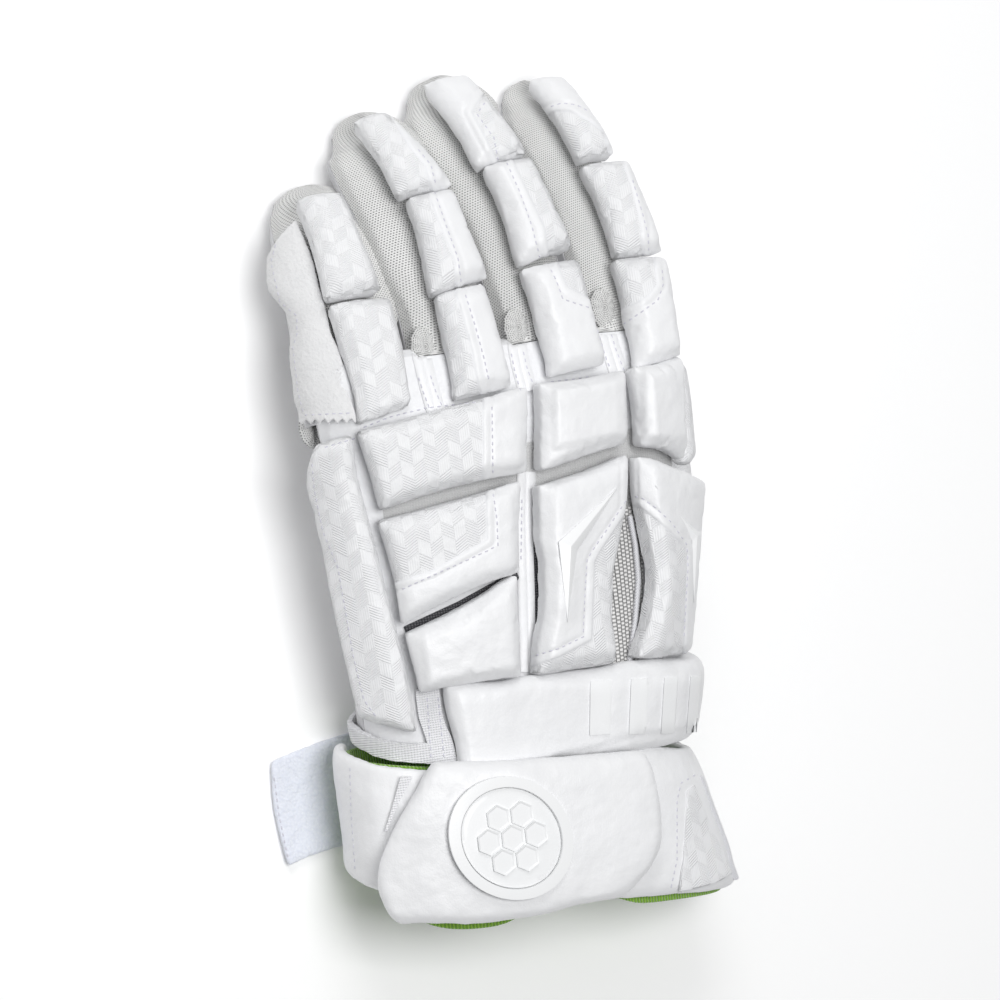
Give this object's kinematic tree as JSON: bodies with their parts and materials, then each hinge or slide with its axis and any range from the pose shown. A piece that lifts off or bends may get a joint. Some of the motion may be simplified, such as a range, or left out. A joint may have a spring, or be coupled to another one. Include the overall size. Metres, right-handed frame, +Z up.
{
  "type": "lacrosse glove",
  "caption": "Padded leather sports glove lying palm down, with segmented foam pads over the hand and fingers, a wrist strap and a flared cuff whose mouth is open.",
  "frame": {"origin": "the middle of the glove's footprint, on the surface it lies on", "axes": "+Y from the cuff to the fingertips, +X toward the thumb's side, +Z up through the back of the hand"},
  "size_m": [0.1842, 0.327, 0.0763],
  "materials": {
    "white_leather": "smooth white synthetic leather with a soft sheen, embossed with small hexagons on some panels",
    "palm_leather": "thin matt off-white suede-like leather",
    "air_mesh": "grey knitted air mesh with small holes",
    "ripstop_fabric": "light grey woven fabric with a fine grid",
    "silver_knit": "silver-grey ribbed knit with a slight shine",
    "suede": "white brushed suede with a matt nap",
    "elastic_webbing": "white woven elastic with fine ribs",
    "green_knit": "bright green ribbed lining knit",
    "loop_fabric": "fuzzy pale blue-white loop fabric of a touch fastener",
    "moulded_rubber": "white moulded rubber with a satin gloss"
  },
  "bodies": {
    "root": {"palm": "palm_leather", "hand_back": "ripstop_fabric", "pinky_underside": "palm_leather", "pinky_sleeve": "air_mesh", "ring_underside": "palm_leather", "ring_sleeve": "air_mesh", "middle_underside": "palm_leather", "middle_sleeve": "air_mesh", "index_underside": "palm_leather", "index_sleeve": "air_mesh", "thumb_underside": "palm_leather", "thumb_sleeve": "air_mesh", "pinky_pad_base": "white_leather", "pinky_pad_tip": "white_leather", "ring_pad_base": "white_leather", "ring_pad_mid": "white_leather", "ring_pad_tip": "white_leather", "middle_pad_base": "white_leather", "middle_pad_mid": "white_leather", "middle_pad_tip": "white_leather", "index_pad_base": "white_leather", "index_pad_mid": "white_leather", "index_pad_tip": "white_leather", "thumb_pad_base": "white_leather", "thumb_pad_tip": "white_leather", "knuckle_pad_outer": "white_leather", "knuckle_pad_middle": "white_leather", "knuckle_pad_index": "white_leather", "knuckle_side_panel": "white_leather", "back_pad_upper": "white_leather", "back_pad_lower": "white_leather", "main_pad_left": "white_leather", "main_pad_right": "white_leather", "side_pad": "white_leather", "vent_mesh": "silver_knit", "spike_left": "moulded_rubber", "spike_right": "moulded_rubber", "suede_patch": "suede", "hem_binding": "elastic_webbing", "strap_webbing": "elastic_webbing", "wrist_strap": "white_leather", "strap_rib_1": "moulded_rubber", "strap_rib_2": "moulded_rubber", "strap_rib_3": "moulded_rubber", "strap_rib_4": "moulded_rubber", "cuff_lining": "green_knit", "cuff_wing_left": "white_leather", "cuff_wing_right": "white_leather", "cuff_front_pad": "white_leather", "badge_ring": "moulded_rubber", "badge_disc": "moulded_rubber", "cuff_inset": "white_leather", "cuff_piping": "moulded_rubber", "wing_mesh": "elastic_webbing", "cuff_palm_panel": "palm_leather", "closure_tab": "loop_fabric"}
  },
  "joints": []
}
